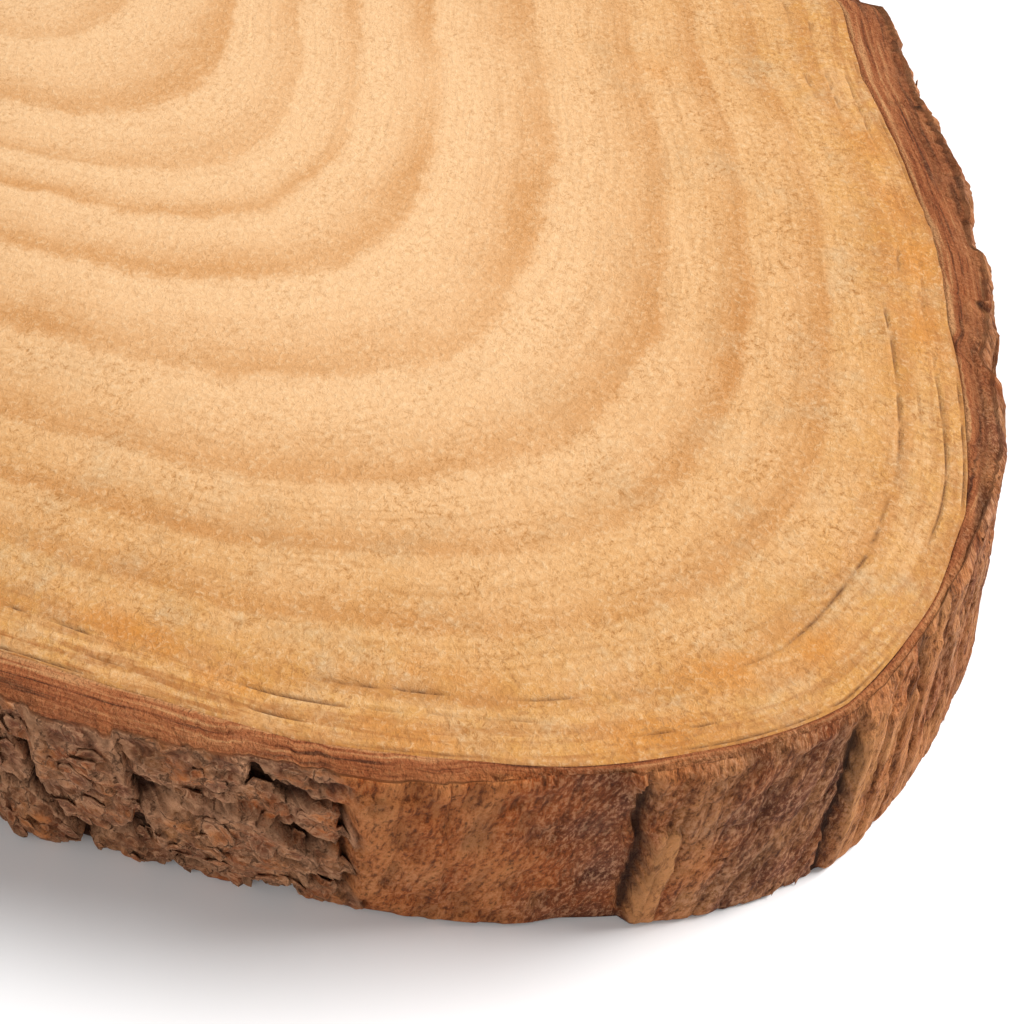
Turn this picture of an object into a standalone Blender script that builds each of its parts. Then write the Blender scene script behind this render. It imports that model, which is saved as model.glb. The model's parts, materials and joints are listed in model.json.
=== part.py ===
"""Wood slice: a round cut straight across a tree trunk, with its bark left on.

The slice lies flat, in metres, +Z up. The origin is under the middle of its outline, on the
lower sawn face, and +X runs along its longest width, towards the bulge of the trunk.
The trunk grew outward from its pith, which stands off the middle, so every radius and angle
below is taken about the pith.
"""

import math

import bmesh
import bpy
from mathutils import Vector

# Driving dimensions.
THICKNESS = 0.024
MEAN_RADIUS = 0.1112

# The outline departs from a circle in a few broad lobes. Each lobe is its number of swellings
# around the trunk, its depth as a share of the mean radius, and the angle of its first crest.
LOBES = (
    (1, 0.067, math.radians(64.7)),
    (2, 0.102, math.radians(-2.7)),
    (3, 0.060, math.radians(4.3)),
    (4, 0.036, math.radians(2.6)),
    (5, 0.015, math.radians(2.8)),
    (6, 0.013, math.radians(0.0)),
    (7, 0.009, math.radians(-3.2)),
)

# Over the bulge the trunk widens towards its foot, so the wall leans outwards there.
FLARE_DEPTH = 0.0045                   # how far the wall's foot stands out beyond its top
FLARE_CENTRE = math.radians(14)
FLARE_HALF_SPAN = math.radians(42)

# Bark relief, cut into the outline and never proud of it.
FURROW_DEPTH = 0.0011        # grooves that run up the trunk
FURROWS = 47                 # grooves around the trunk
FURROW_LEAN = math.radians(2.4)   # how far a groove drifts from bottom face to top face
WEATHER_DEPTH = 0.0009       # slow hollows where the bark is worn thinner
CRACKS = (                   # splits through the bark: angle, half width, depth
    (math.radians(-8.0), math.radians(1.2), 0.0020),
    (math.radians(0.5), math.radians(1.2), 0.0022),
    (math.radians(118), math.radians(1.6), 0.0020),
    (math.radians(203), math.radians(1.4), 0.0022),
)

# How finely the solid is drawn.
COLUMNS = 240
LEVELS = 7


def outline_radius(angle):
    """Distance from the pith to the outside of the bark: the mean radius times one plus the lobes."""
    swelling = sum(depth * math.cos(count * (angle - crest)) for count, depth, crest in LOBES)
    return MEAN_RADIUS * (1.0 + swelling)


def turn_between(angle, other):
    """The smaller turn from one angle to another, from -pi to pi."""
    return math.remainder(angle - other, 2.0 * math.pi)


def flare(angle, height):
    """How far the wall stands out: a raised cosine around the trunk, straight from top to foot."""
    across = min(1.0, abs(turn_between(angle, FLARE_CENTRE)) / FLARE_HALF_SPAN)
    down = 1.0 - height / THICKNESS
    return FLARE_DEPTH * down * 0.5 * (1.0 + math.cos(math.pi * across))


def furrow_depth(angle, height):
    """Leaning grooves: the groove count wanders around the trunk, so no two plates are alike."""
    drift = angle + FURROW_LEAN * height / THICKNESS
    wander = 1.3 * math.sin(3.0 * drift) + 0.9 * math.sin(7.0 * drift + 1.0)
    groove = 1.0 - abs(math.sin(0.5 * FURROWS * drift + wander))
    return FURROW_DEPTH * groove


def weather_depth(angle, height):
    """Slow hollows in both directions, none of them deeper than the weathering depth."""
    lie = height / THICKNESS
    wave = math.sin(11.0 * angle + 2.2 * lie) * math.cos(5.0 * angle - 3.1 * lie)
    return WEATHER_DEPTH * 0.5 * (1.0 + wave)


def crack_depth(angle):
    """V-shaped splits that run the full height of the bark."""
    deepest = 0.0
    for centre, half_width, depth in CRACKS:
        share = 1.0 - abs(turn_between(angle, centre)) / half_width
        deepest = max(deepest, depth * share)
    return deepest


def bark_radius(angle, height):
    """The outline and its flare, less all that is worn, split or furrowed away at this height."""
    lost = furrow_depth(angle, height) + weather_depth(angle, height) + crack_depth(angle)
    return outline_radius(angle) + flare(angle, height) - lost


def new_material(name, colour, roughness):
    """A plain, non-metal finish."""
    material = bpy.data.materials.new(name)
    material.use_nodes = True
    shader = material.node_tree.nodes["Principled BSDF"]
    shader.inputs["Base Color"].default_value = (*colour, 1.0)
    shader.inputs["Roughness"].default_value = roughness
    shader.inputs["Metallic"].default_value = 0.0
    return material


def slice_mesh():
    """A unit cylinder on the pith, its wall divided in height, drawn out to the bark's radius."""
    shape = bmesh.new()
    bmesh.ops.create_cone(
        shape, cap_ends=True, cap_tris=True, segments=COLUMNS, radius1=1.0, radius2=1.0, depth=THICKNESS)
    uprights = [edge for edge in shape.edges if abs(edge.verts[0].co.z - edge.verts[1].co.z) > 0.5 * THICKNESS]
    bmesh.ops.subdivide_edges(shape, edges=uprights, cuts=LEVELS - 1, use_grid_fill=True)

    for vertex in shape.verts:
        height = vertex.co.z + 0.5 * THICKNESS
        if vertex.co.xy.length > 0.5:
            angle = math.atan2(vertex.co.y, vertex.co.x)
            radius = bark_radius(angle, height)
            vertex.co = Vector((radius * math.cos(angle), radius * math.sin(angle), height))
        else:
            vertex.co.z = height

    for face in shape.faces:
        sawn = abs(face.normal.z) > 0.5
        face.material_index = 0 if sawn else 1

    # Bring the middle of the outline over the origin.
    xs = [vertex.co.x for vertex in shape.verts]
    ys = [vertex.co.y for vertex in shape.verts]
    middle = Vector((0.5 * (min(xs) + max(xs)), 0.5 * (min(ys) + max(ys)), 0.0))
    bmesh.ops.translate(shape, verts=shape.verts, vec=-middle)

    mesh = bpy.data.meshes.new("wood_slice")
    shape.to_mesh(mesh)
    shape.free()
    return mesh


def main():
    for item in list(bpy.data.objects):
        bpy.data.objects.remove(item, do_unlink=True)

    collection = bpy.data.collections.new("Wood slice")
    bpy.context.scene.collection.children.link(collection)

    mesh = slice_mesh()
    mesh.materials.append(new_material("Sawn wood", (0.86, 0.60, 0.34), 0.75))
    mesh.materials.append(new_material("Bark", (0.24, 0.11, 0.055), 0.9))
    collection.objects.link(bpy.data.objects.new("wood_slice", mesh))


main()
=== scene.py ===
"""Wood slice: the looks.

A slice sawn across a trunk, laid flat on a pale floor. The frame has one solid. The eye reads it
as sawn wood, layered bark, and loose scales and torn fibres that stand off the bark, so each of
these is a piece. Sizes are millimetres about the pith until the end, where they are made metres.
"""

import functools
import json
import math

import bpy
import numpy as np
from bpy.props import FloatProperty, FloatVectorProperty, IntProperty, PointerProperty
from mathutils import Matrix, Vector


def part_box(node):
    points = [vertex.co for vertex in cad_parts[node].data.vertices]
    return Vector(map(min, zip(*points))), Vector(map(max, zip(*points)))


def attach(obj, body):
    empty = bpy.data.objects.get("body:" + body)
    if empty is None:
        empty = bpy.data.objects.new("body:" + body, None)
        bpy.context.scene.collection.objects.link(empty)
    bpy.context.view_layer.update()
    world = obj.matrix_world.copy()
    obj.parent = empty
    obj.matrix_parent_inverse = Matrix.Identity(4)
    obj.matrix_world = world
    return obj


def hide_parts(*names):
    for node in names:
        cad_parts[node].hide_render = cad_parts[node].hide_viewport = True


bl_info = {
    "name": "Wood slice",
    "version": (1, 0, 0),
    "blender": (4, 5, 0),
    "location": "3D View > Sidebar > Wood slice",
    "description": "Builds a slice of a tree trunk with growth rings and bark",
    "category": "Add Mesh",
}

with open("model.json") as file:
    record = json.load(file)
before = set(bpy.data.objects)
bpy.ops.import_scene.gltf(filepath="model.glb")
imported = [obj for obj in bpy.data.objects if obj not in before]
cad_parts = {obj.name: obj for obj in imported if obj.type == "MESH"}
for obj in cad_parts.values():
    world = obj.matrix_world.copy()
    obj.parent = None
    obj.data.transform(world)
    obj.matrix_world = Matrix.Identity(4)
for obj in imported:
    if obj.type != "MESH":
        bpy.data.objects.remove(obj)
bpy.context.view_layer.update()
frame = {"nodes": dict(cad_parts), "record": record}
NODE = "wood_slice"
BODY = "root"

MM = 0.001
TURN = 2 * math.pi
LOW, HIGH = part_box(NODE)
THICKNESS = (HIGH.z - LOW.z) / MM
PITH = next(np.array(mount["pos_m"]) / MM for mount in frame["record"]["mounts"] if mount["name"] == "top")


def linear(text):
    """An sRGB colour written as six hex digits, as linear red, green and blue."""
    shares = [int(text[i:i + 2], 16) / 255 for i in (0, 2, 4)]
    return tuple(c / 12.92 if c <= 0.04045 else ((c + 0.055) / 1.055) ** 2.4 for c in shares)


# ---- Random patterns, as whole arrays ----

def lattice(ix, iy, iz, seed):
    """A whole-number point scrambled to an even random value from -1 to 1, the same each run."""
    mixed = (ix * 73856093) ^ (iy * 19349663) ^ (iz * 83492791) ^ (seed * 39916801)
    mixed = mixed & 0xFFFFFFFF
    mixed = ((mixed ^ (mixed >> 15)) * 1274126177) & 0xFFFFFFFF
    mixed = ((mixed ^ (mixed >> 13)) * 668265263) & 0xFFFFFFFF
    return (mixed ^ (mixed >> 16)) / 2147483648 - 1


def noise(x, y, z, seed=0):
    """Smooth random values: each unit cube's eight corner values, blended by a smooth step."""
    x, y, z = np.broadcast_arrays(x, y, z)
    ix, iy, iz = (np.floor(a).astype(np.int64) for a in (x, y, z))
    fx, fy, fz = (a * a * (3 - 2 * a) for a in (x - ix, y - iy, z - iz))
    total = np.zeros(x.shape)
    for cz, cy, cx in np.ndindex(2, 2, 2):
        weight = (fx if cx else 1 - fx) * (fy if cy else 1 - fy) * (fz if cz else 1 - fz)
        total += weight * lattice(ix + cx, iy + cy, iz + cz, seed)
    return total


def cells(x, y, z, seed):
    """Random cells, one round a jittered point of each unit cube: each point's own cell's random
    value, and how much farther the next cell's point is than its own."""
    x, y, z = np.broadcast_arrays(x, y, z)
    ix, iy, iz = (np.floor(a).astype(np.int64) for a in (x, y, z))
    nearest, second, value = (np.full(x.shape, start) for start in (np.inf, np.inf, 0.5))
    for shift in np.ndindex(3, 3, 3):
        cell = ix + shift[0] - 1, iy + shift[1] - 1, iz + shift[2] - 1
        away = np.sqrt(sum(
            (corner + 0.5 + 0.45 * lattice(*cell, seed + k) - at) ** 2
            for k, (corner, at) in enumerate(zip(cell, (x, y, z)))))
        closer = away < nearest
        second = np.where(closer, nearest, np.minimum(second, away))
        value = np.where(closer, lattice(*cell, seed + 3), value)
        nearest = np.where(closer, away, nearest)
    return value, second - nearest


def smooth(low, high, value):
    """0 below low, 1 above high, and a smooth step between; with low above high, it falls instead."""
    share = np.clip((value - low) / (high - low), 0, 1)
    return share * share * (3 - 2 * share)


def on_drum(angle):
    """An angle as a place on the drum, in millimetres."""
    return DRUM * np.cos(angle), DRUM * np.sin(angle)


def ripples(x, y, z, *waves):
    """A sum of noises: of each its strength, its sizes across and up in millimetres, and its seed."""
    return sum(strength * noise(x / wide, y / wide, z / tall, seed) for strength, wide, tall, seed in waves)


def turned(angle, start=0):
    """How far an angle is turned from a start given in degrees, from -pi to pi."""
    return np.mod(angle - np.radians(start) + math.pi, TURN) - math.pi


def listed(table, angle, column):
    """A column of a table whose first column is an angle in degrees, straight between its rows."""
    table = np.array(table)
    return np.interp(np.degrees(angle), table[:, 0], table[:, column], period=360)


# ---- The trunk's outline, read from the solid ----

WAVES = 9                 # waves around the trunk that count as its outline and not as bark relief
BAND = 0.2                # share of the thickness that is read at the foot and at the top
EVEN = np.linspace(0, TURN, 2880, endpoint=False)

# How far the bark's outside stands from the slow waves of the solid's wall: angle in degrees, then
# millimetres at the foot and at the top.
RELIEFS = (
    (-60, 0.8, 0.8), (-30, 0.6, 0.8), (-25, -0.4, 0.6), (-20, -1.5, -0.3), (-12, -1.3, -0.9),
    (-8, -0.9, -0.4), (-4, 0.2, 0.7), (0, 0.2, 1.1), (4, -0.9, 0), (8, -1.4, -0.5), (14, -1.1, -0.3),
    (20, -0.8, -0.7), (25, 0, 0.8), (32, 0.6, 1.8), (40, 0.6, 0.8), (48, 0.8, 1.9), (60, 0.8, 0.8))


def outline_radii(low, high, column):
    """The solid's wall between two heights, as radius about the pith, with only its slow waves."""
    vertices = frame["nodes"][NODE].data.vertices
    corners = np.empty(len(vertices) * 3, np.float32)
    vertices.foreach_get("co", corners)
    corners = corners.reshape(-1, 3).astype(float) / MM
    away = corners[:, 0] - PITH[0] + 1j * (corners[:, 1] - PITH[1])
    wall = (corners[:, 2] >= low) & (corners[:, 2] <= high) & (np.abs(away) > 1)
    radius = np.interp(EVEN, np.angle(away[wall]), np.abs(away[wall]), period=TURN)
    waves = np.fft.rfft(radius)
    waves[WAVES:] = 0
    radius = np.fft.irfft(waves, len(EVEN)) + listed(RELIEFS, EVEN, column)
    return radius, corners[wall, 2].mean()


FOOT_OUTLINE, FOOT_LEVEL = outline_radii(0, BAND * THICKNESS, 1)
TOP_OUTLINE, TOP_LEVEL = outline_radii((1 - BAND) * THICKNESS, THICKNESS, 2)
CORNERS = TOP_OUTLINE * np.exp(1j * EVEN)
STEP = np.abs(np.roll(CORNERS, -1) - CORNERS)
DRUM = STEP.sum() / TURN   # radius of a round drum with the trunk's girth, on which patterns lie


def outline(angle, height):
    """Radius of the outside of the bark: straight between its foot and its top, and beyond."""
    foot = np.interp(angle, EVEN, FOOT_OUTLINE, period=TURN)
    top = np.interp(angle, EVEN, TOP_OUTLINE, period=TURN)
    return foot + (top - foot) * (height - FOOT_LEVEL) / (TOP_LEVEL - FOOT_LEVEL)


# Width of the bark where it is sawn: angle in degrees, then millimetres.
BARK_WIDTHS = (
    (-60, 5.2), (-28, 5.6), (-23, 5.2), (-18, 3.7), (-13, 2.8), (-8, 2.1), (-2, 1.7), (6, 1.8), (10, 2.3),
    (14, 3.9), (18, 4.8), (24, 6), (32, 7.2), (60, 6.6), (112, 4.2), (150, 5.6), (192, 4.4), (236, 3.4),
    (265, 4.8))


def cambium(angle, height):
    """Radius of the outside of the wood: the outline less the bark's width."""
    ragged = 0.35 * noise(12 * np.cos(angle), 12 * np.sin(angle), 0, 5)
    return outline(angle, height) - listed(BARK_WIDTHS, angle, 1) - ragged


# ---- Meshes ----

def placed(name, data, **settings):
    """A new object in the scene, and its data's settings."""
    for key, value in settings.items():
        setattr(data, key, value)
    thing = bpy.data.objects.new(name, data)
    bpy.context.scene.collection.objects.link(thing)
    return thing


def solids(name, points, poles, layers):
    """Grids of points in millimetres, as closed bodies in one mesh in metres.

    Each body is rows by columns, and its columns go round it. With poles, its first and last rows
    are each one point; without, its rows close on themselves, as a ring's section does.
    """
    bodies, rows, columns, _ = points.shape
    index = np.arange(bodies * rows * columns).reshape(bodies, rows, columns)
    used = np.ones(index.shape, bool)
    if poles:
        used[:, (0, -1), 1:] = False
        index[:, (0, -1)] = index[:, (0, -1), :1]
    used = used.ravel()
    index = (np.cumsum(used) - 1)[index]
    after = np.roll(index, -1, axis=2)
    if poles:
        quads = np.stack([index[:, 1:-2], index[:, 2:-1], after[:, 2:-1], after[:, 1:-2]], axis=-1)
        triangles = np.stack([
            [index[:, 0], index[:, 1], after[:, 1]], [index[:, -1], after[:, -2], index[:, -2]]])
        triangles = np.moveaxis(triangles, 1, -1).reshape(-1, 3)
    else:
        quads = np.stack([index, np.roll(index, -1, axis=1), np.roll(after, -1, axis=1), after], axis=-1)
        triangles = np.empty((0, 3), int)
    quads = quads.reshape(-1, 4)
    mesh = bpy.data.meshes.new(name)
    mesh.vertices.add(np.count_nonzero(used))
    mesh.vertices.foreach_set("co", (points.reshape(-1, 3)[used] * MM).astype(np.float32).ravel())
    corners = np.concatenate([triangles.ravel(), quads.ravel()])
    starts = np.concatenate([3 * np.arange(len(triangles)), 3 * len(triangles) + 4 * np.arange(len(quads))])
    mesh.loops.add(len(corners))
    mesh.loops.foreach_set("vertex_index", corners.astype(np.int32))
    mesh.polygons.add(len(starts))
    mesh.polygons.foreach_set("loop_start", starts.astype(np.int32))
    mesh.update(calc_edges=True)
    mesh.validate()
    for layer, values in layers.items():
        vector = values.ndim == points.ndim
        attribute = mesh.attributes.new(layer, "FLOAT_VECTOR" if vector else "FLOAT", "POINT")
        picked = values.reshape(len(used), -1)[used].astype(np.float32)
        attribute.data.foreach_set("vector" if vector else "value", picked.ravel())
    mesh.shade_smooth()
    return placed(name, mesh)


def polar(radius, angle, height):
    """Radius and angle about the pith, and height, as points in the slice's own frame."""
    x = PITH[0] + radius * np.cos(angle)
    y = PITH[1] + radius * np.sin(angle)
    return np.stack(np.broadcast_arrays(x, y, height), axis=-1)


# ---- Sawn wood ----

# Where each year's growth ended, as a share of the way from the pith to the bark, and how dark
# its late wood is.
RINGS = (
    (0, 0.5), (0.105, 0.75), (0.247, 0.95), (0.335, 0.6), (0.4, 1), (0.49, 0.9), (0.622, 0.9),
    (0.742, 0.8), (0.818, 0.9), (0.892, 0.8), (0.955, 0.9), (1, 0.6))
ROUNDNESS = 0.15           # how soon the rings leave a circle for the trunk's own outline

# Resin stains: angle in degrees, distance in from the bark and radius in millimetres.
STAINS = (
    (-23.6, 6.5, 3.4), (-19.8, 4.2, 2.4), (-14, 2.2, 3), (-11.4, 11, 3.2), (-6.2, 2.4, 4.2),
    (-2.4, 6.5, 3.4), (0.8, 5, 3), (19, 3.4, 4), (23.5, 3, 4.2), (27.5, 3.2, 3.4), (33, 3.4, 3),
    (38, 24, 3), (61, 5, 5), (96, 4, 4), (140, 7, 5), (171, 3, 4), (214, 5, 5), (247, 3, 4), (290, 6, 4),
    (318, 4, 5))


# Rows of the wood near the bark, as distances in from it: close together at each line on which
# drying cracks open.
EDGE_ROWS = (
    8, 7.5, 7.2, 6.9, 6.5, 5.9, 5.3, 5.08, 4.8, 4.52, 4.2, 3.7, 3.2, 2.8, 2.62, 2.4, 2.18, 1.9, 1.5, 1.1,
    0.8, 0.68, 0.5, 0.32, 0.18, 0)
CRACK_LINES = (7.2, 4.8, 2.4, 0.5)
CRACKING = ((-40, 1), (12, 1), (24, 0.6), (60, 0.6), (98, 0.9), (200, 0.5), (260, 1))


def cracked(angle, line):
    """How far a crack line has opened at each angle: long dashes, each broken into short ones."""
    x, y = on_drum(angle)
    dash = smooth(-0.05, 0.35, noise(x / 9, y / 9, line, 81))
    return dash * smooth(-0.45, 0.15, noise(x / 1.3, y / 1.3, line, 82)) * listed(CRACKING, angle, 1)


def wood_piece(sizes):
    """A disc as a polar grid: rows of growing radius over the top, down the wall, and back below.

    Its height is the solid's, less the waves that a blade leaves, the drying cracks and an eased
    corner. Its rows near the bark wander with the cracks, and near the pith are almost circles.
    """
    angle = np.linspace(0, TURN, sizes.wood_columns, endpoint=False)[None, :]
    x, y = on_drum(angle)
    wander = ripples(x, y, 0, (0.55, 11, 1, 83), (0.12, 2, 1, 84))
    insets = np.array(EDGE_ROWS)[:, None]
    cracks = np.concatenate([np.zeros((sizes.wood_rows, angle.size))] + [
        cracked(angle, line) if line in CRACK_LINES else 0 * angle for line in EDGE_ROWS])
    ends, strengths = np.array(RINGS).T
    faces = []
    for level, inward in ((THICKNESS, -1), (0, 1)):
        edge = cambium(angle, level)
        core = np.linspace(0, 1, sizes.wood_rows)[:, None] * (1 - (EDGE_ROWS[0] + 1) / edge)
        lean = core ** ROUNDNESS
        core = core * (edge.mean() * (1 - lean) + edge * lean)
        margin = edge - insets + wander * smooth(0, 2.5, insets) * smooth(8, 5.5, insets)
        radius = np.concatenate([core, margin])
        inset = edge - radius
        share = np.clip(radius / edge, 0, 1)
        near = smooth(0, 0.35, share)
        share = (1 - near) * radius / edge.mean() + near * share
        x, y = radius * np.cos(angle), radius * np.sin(angle)
        blade = ripples(x, y, level, (0.05, 18, 1, 3), (0.04, 2.6, 1, 4))
        drop = np.abs(blade) + 0.3 * cracks + 0.08 * smooth(0.5, 0, inset)
        drop[0] = drop[0, 0]
        stain = np.zeros(radius.shape)
        for place, distance, size in STAINS:
            along = radius * turned(angle, place)
            stain = np.maximum(stain, 1 - np.hypot(along * 0.55, inset - distance) / size)
        faces.append({
            "place": polar(radius, angle, level + inward * drop), "inset": inset, "ring": share * DRUM,
            "years": np.interp(share, ends, np.arange(len(ends))), "crack": cracks,
            "late": np.interp(share, ends, strengths), "stain": np.clip(stain, 0, 1)})
    top, foot = faces
    layers = {key: np.concatenate([top[key], foot[key][::-1]])[None] for key in top}
    return solids("wood", layers.pop("place"), True, layers)


# ---- Bark ----

# How the bark is worn: angle in degrees, how much is scaly, rubbed and stringy, how rusty and how tan
# it is, and how long its fibres are.
WEAR = (
    (-46, 0.9, 0.1, 0.3, 0.2, 0.3, 0.5), (-30, 1, 0, 0, 0.2, 0.3, 0.3), (-17.3, 1, 0, 0, 0.15, 0.25, 0),
    (-16.8, 0, 1, 0, 0.8, 0.35, 0), (-12, 0, 1, 0, 0.95, 0.4, 0), (-10.3, 0, 0.7, 0.4, 0.5, 0.2, 0),
    (-8.1, 0, 0.4, 0.6, 0.2, 0.1, 0), (-7.2, 0, 0.1, 0.9, 0.6, 0.45, 0.6),
    (-5.6, 0, 0.1, 0.9, 0.45, 0.4, 0.3), (-4.8, 0, 0, 1, 0.1, 0.4, 0.5), (-0.3, 0, 0, 1, 0.2, 0.35, 0.5),
    (0.6, 0, 0, 1, 0.55, 0.6, 1), (5.5, 0, 0, 1, 0.45, 0.55, 0.9), (8, 0, 0, 1, 0.25, 0.4, 0.7),
    (20, 0.2, 0, 0.9, 0.3, 0.35, 0.6), (48, 0.3, 0, 0.9, 0.35, 0.4, 0.8),
    (75, 0.9, 0.2, 0.2, 0.15, 0.3, 0.5), (105, 0.2, 0.9, 0.3, 0.8, 0.3, 0.2),
    (130, 0.1, 0.1, 1, 0.3, 0.5, 0.9), (165, 1, 0, 0.2, 0.1, 0.3, 0.4),
    (200, 0.7, 0.3, 0.5, 0.2, 0.3, 0.3), (228, 0.1, 0.9, 0.3, 0.8, 0.35, 0.1),
    (255, 0, 0, 1, 0.3, 0.5, 0.8), (285, 0.7, 0.1, 0.5, 0.2, 0.3, 0.5))
SCALY, RUBBED, STRINGY, LONG = 1, 2, 3, 6     # columns of this table

# Splits through the bark: angle and drift over the height in degrees, half width, depth, and where it
# starts and ends as shares of the thickness, with -1 and 2 where it runs right through.
SPLITS = (
    (-17.1, 0.5, 0.3, 1.3, 0.1, 0.85), (-7.5, 0.9, 0.24, 2.2, 0.02, 0.97),
    (-0.25, 0.9, 0.26, 2.2, -1, 0.92), (4.2, 0.2, 0.25, 1.2, 0.3, 2), (12, 0.4, 0.3, 1.4, 0.1, 0.9),
    (22, 0.4, 0.4, 1.6, -1, 2), (38, -0.4, 0.4, 1.6, 0.1, 2), (58, 1.2, 0.5, 1.6, -1, 0.8),
    (83, 2, 0.5, 1.6, 0.2, 0.95), (118, 1.5, 0.4, 1.6, -1, 0.75), (146, 2, 0.4, 1.4, 0.25, 0.9),
    (176, 1.8, 0.4, 1.4, 0.2, 2), (203, 1, 0.4, 1.6, -1, 0.65), (241, 1.6, 0.3, 1.4, 0.25, 2),
    (268, 2.2, 0.4, 1.5, 0.1, 0.8), (297, 1.4, 0.4, 1.6, -1, 0.75))

# Strips that stand proud: from and to, from -180 to 180 degrees, how high up they reach, how far they
# stand out, and how tan they are.
STRIPS = (
    (-16.9, -13.8, 23, 0.7, 0.2), (-7.25, -6.4, 17, 0.9, 1), (-6.25, -5.2, 22.6, 0.45, 0.45),
    (0.1, 1.4, 21, 0.9, 0.7), (1.7, 2.9, 19, 0.7, 0.7), (3.1, 5.2, 22, 0.6, 0.6), (6.6, 8, 17, 0.5, 0.6),
    (9, 11, 20, 0.5, 0.5), (15.5, 19, 22, 0.7, 0.6), (21, 27, 22, 0.8, 0.5), (30, 38, 22.5, 0.7, 0.5),
    (126, 129, 18, 0.8, 0.9), (131, 136, 22, 0.6, 0.8), (-110, -107, 17, 0.9, 0.9),
    (-104, -99, 22, 0.6, 0.8))
STRIP_LEAN = 0.9           # degrees that a strip turns round the trunk over the whole thickness

# How much of each rim is worn from clean sawn bark to crumbs: angle in degrees and share.
RIM_WEAR = ((-60, 0.2), (-14, 0.2), (-11.5, 0.8), (13, 0.8), (24, 0.35), (90, 0.25), (200, 0.5))

# Lost outer layers: where each falls in a step, where it has faded out, from -180 to 180 degrees, and
# its depth.
LOST_LAYERS = ((49.3, 60, 2.4), (-7.75, -12.6, 1.3), (26, 30, 1.1), (18, 20.5, 0.8), (-151, -139, 2))

# The scaly plates seen nearest: angle in degrees, height of the middle, half width, half height, tilt
# in degrees and level.
NEAR_PLATES = (
    (-31.6, 18, 4.6, 8.4, 8, -0.2), (-26.8, 16, 4.4, 9.3, -7, 0.4), (-30.8, 4.2, 4.9, 4.8, 20, 0.1),
    (-25.9, 2.9, 3.5, 3.8, -20, -0.1), (-22.2, 21.1, 4.9, 5.3, 10, -0.5), (-21.4, 9.2, 6.3, 7.1, 24, 0.6),
    (-22.6, 1.2, 3.1, 2, -8, 0), (-17.6, 22.5, 3.5, 3.6, -30, -0.8), (-17.7, 15.2, 2.3, 3.3, 10, -0.6),
    (-17.9, 8.2, 2.1, 3.2, -15, -0.3), (-18.1, 1.7, 2.6, 2.6, 10, -0.2), (-19.6, 16.4, 2.4, 3.4, 35, -0.9),
    (-24.4, 17.4, 1.7, 5, 6, -0.8), (-29.2, 21, 2.8, 4.2, 0, -0.6))
NEAR = (-25, 12)           # middle and half width of the stretch that they cover, in degrees


def plate_table(sizes):
    """The near plates, then one jittered plate to each cell of the other scaly stretches."""
    rng = np.random.default_rng(5)
    across = int(TURN * DRUM / sizes.plate_width)
    up = max(1, round(THICKNESS / sizes.plate_width))
    column, row = (a.ravel() for a in np.meshgrid(np.arange(across), np.arange(up)))
    jitter = rng.uniform(-1, 1, (6, across * up))
    place = (column + 0.5 * (row % 2) + 0.28 * jitter[0]) * 360 / across
    height = (row + 0.5 + 0.25 * jitter[1]) * THICKNESS / up
    half = 0.56 * sizes.plate_width * (1 + 0.22 * jitter[2:4])
    plates = np.stack([
        place, height, 0.9 * half[0], 1.05 * half[1], 25 * jitter[4], 0.5 * jitter[5]], axis=1)
    scaly = listed(WEAR, np.radians(place), SCALY) > 0.45
    outside = np.abs(np.degrees(turned(np.radians(place), NEAR[0]))) > NEAR[1]
    return np.concatenate([np.array(NEAR_PLATES), plates[scaly & outside]])


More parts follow.
